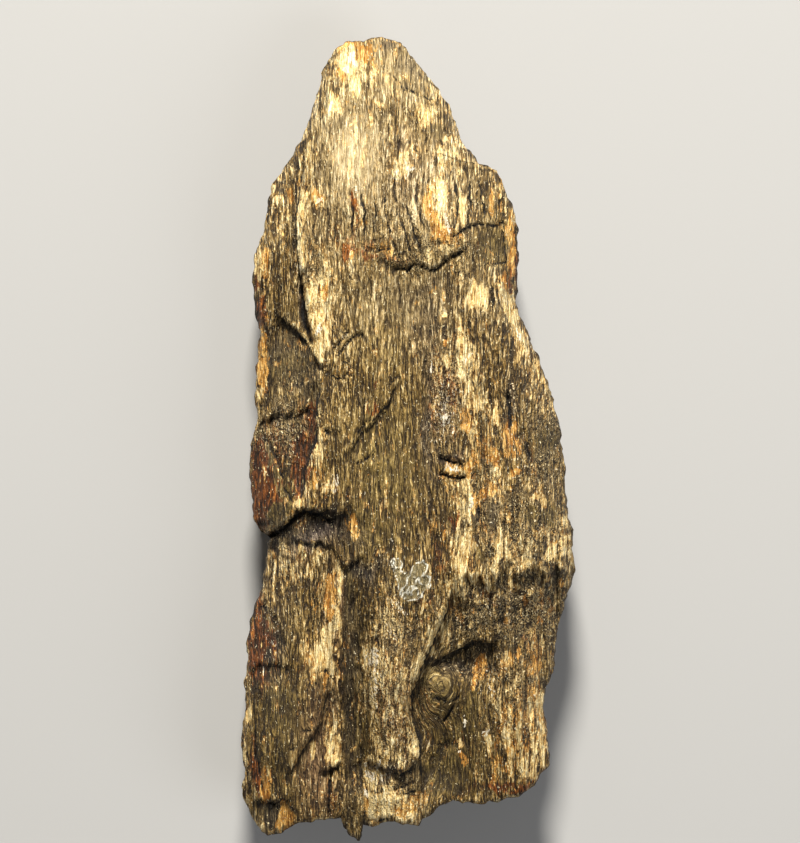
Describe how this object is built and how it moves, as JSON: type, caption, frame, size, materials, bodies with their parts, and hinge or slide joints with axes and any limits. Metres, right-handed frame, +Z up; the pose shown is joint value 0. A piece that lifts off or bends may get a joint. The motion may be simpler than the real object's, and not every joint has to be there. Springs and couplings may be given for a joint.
{
  "type": "petrified wood",
  "caption": "Hand specimen of petrified wood: a broken wedge-shaped splinter of fossil trunk with fibrous grain, stepped ledges and a pointed tip, lying flat on its broad back.",
  "frame": {"origin": "centre of the bounding box at its bottom, on the surface that the stone lies on", "axes": "+Y along the grain to the pointed tip, +X to the right as the front is looked at from above, +Z up out of the front"},
  "size_m": [0.0784, 0.19, 0.0451],
  "materials": {
    "petrified_wood": "rough, fibrous and mostly dull: olive-brown stone with cream, ochre and rust streaks along the grain and a few glassy spots"
  },
  "bodies": {
    "root": {"petrified_wood": "petrified_wood"}
  },
  "joints": []
}
